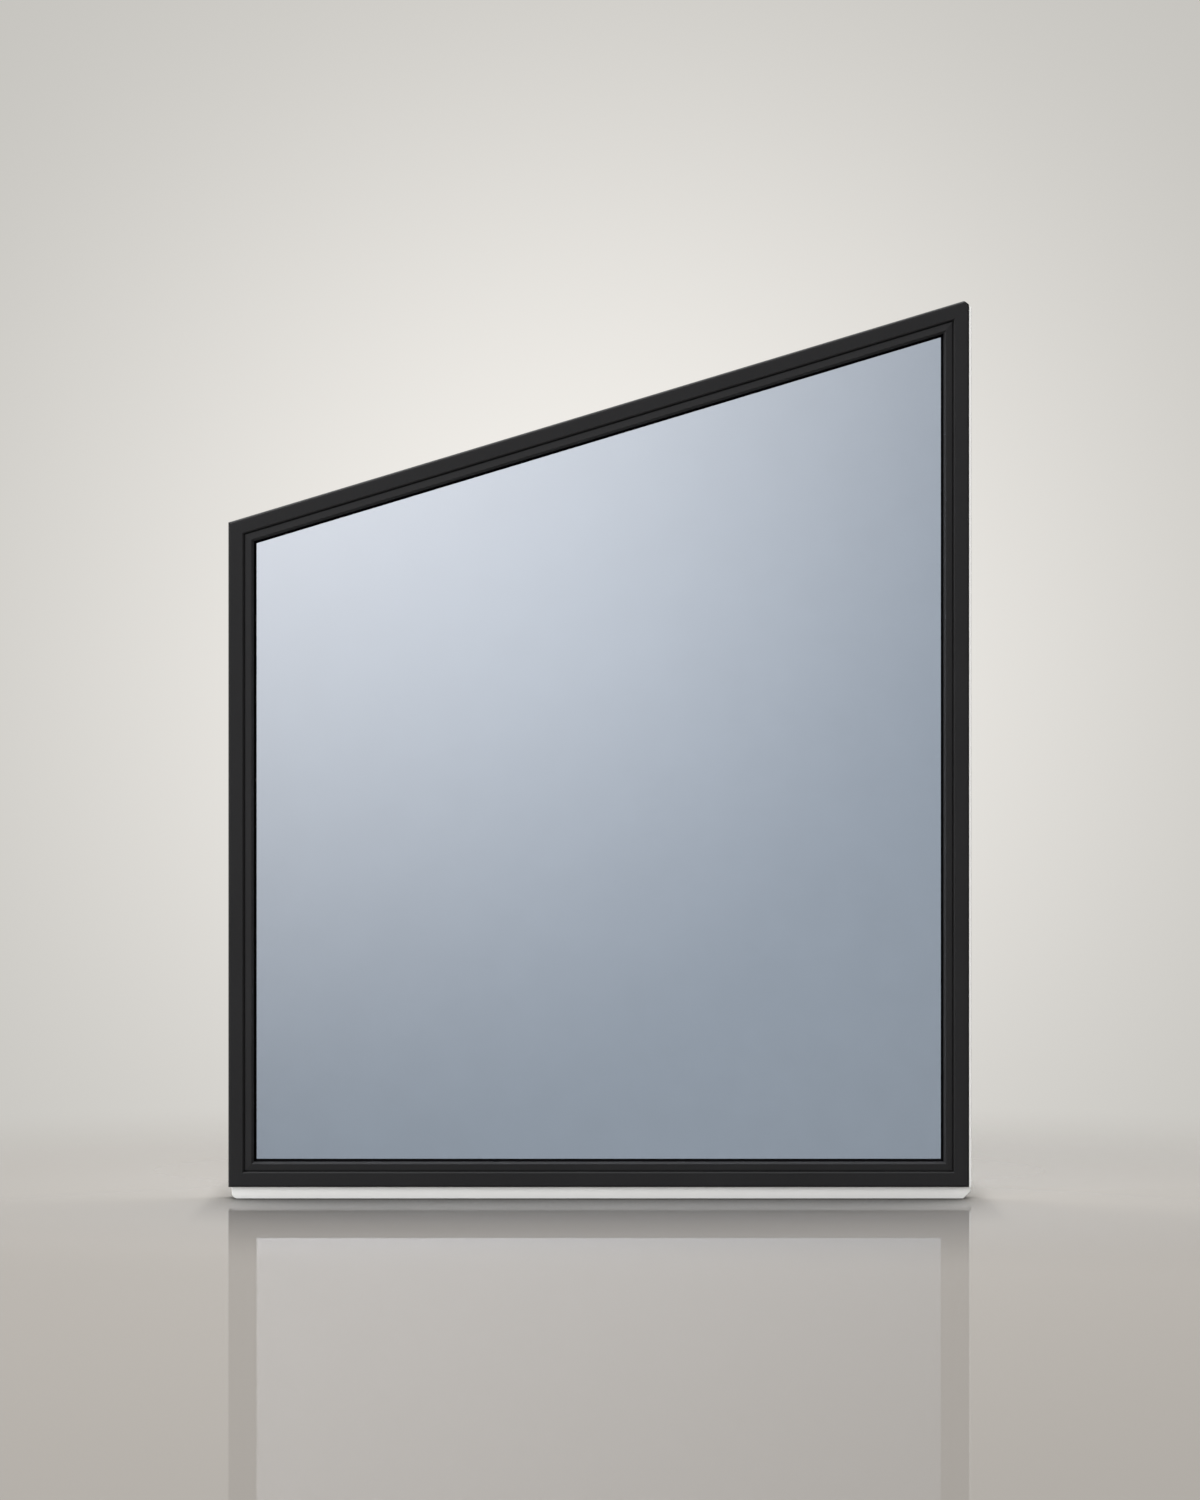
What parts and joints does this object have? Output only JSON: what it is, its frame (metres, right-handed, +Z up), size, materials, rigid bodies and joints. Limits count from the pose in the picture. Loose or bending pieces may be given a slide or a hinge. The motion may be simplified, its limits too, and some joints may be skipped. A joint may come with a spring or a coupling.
{
  "type": "storm window",
  "caption": "Fixed storm window with a sloping head: a black mitred aluminium frame, a removable panel of blue-grey tinted glass held by clips, and a white sill expander.",
  "frame": {"origin": "centre of the master sill's back face, which rests on the opening's stop", "axes": "+X to the right seen from outdoors, +Y towards the room, +Z up"},
  "size_m": [1.2228, 0.038, 1.4779],
  "materials": {
    "black_powder_coat": "satin",
    "black_gasket": "matte",
    "black_weatherstrip": "matte",
    "tinted_glass": "polished",
    "dark_nylon": "matte",
    "white_vinyl": "satin"
  },
  "bodies": {
    "root": {"master_sill": "black_powder_coat", "master_right_jamb": "black_powder_coat", "master_head": "black_powder_coat", "master_left_jamb": "black_powder_coat", "panel_bottom_rail": "black_powder_coat", "panel_right_stile": "black_powder_coat", "panel_top_rail": "black_powder_coat", "panel_left_stile": "black_powder_coat", "glazing_gasket_bottom": "black_gasket", "glazing_gasket_right": "black_gasket", "glazing_gasket_top": "black_gasket", "glazing_gasket_left": "black_gasket", "weatherstrip_bottom": "black_weatherstrip", "weatherstrip_right": "black_weatherstrip", "weatherstrip_top": "black_weatherstrip", "weatherstrip_left": "black_weatherstrip", "glass_pane": "tinted_glass", "clip_bottom_1": "black_powder_coat", "clip_bottom_2": "black_powder_coat", "clip_right_1": "black_powder_coat", "clip_right_2": "black_powder_coat", "clip_top_1": "black_powder_coat", "clip_top_2": "black_powder_coat", "clip_left_1": "black_powder_coat", "clip_left_2": "black_powder_coat", "setting_block_left": "dark_nylon", "setting_block_right": "dark_nylon", "sill_expander": "white_vinyl", "jamb_filler_strip": "white_vinyl"}
  },
  "joints": []
}
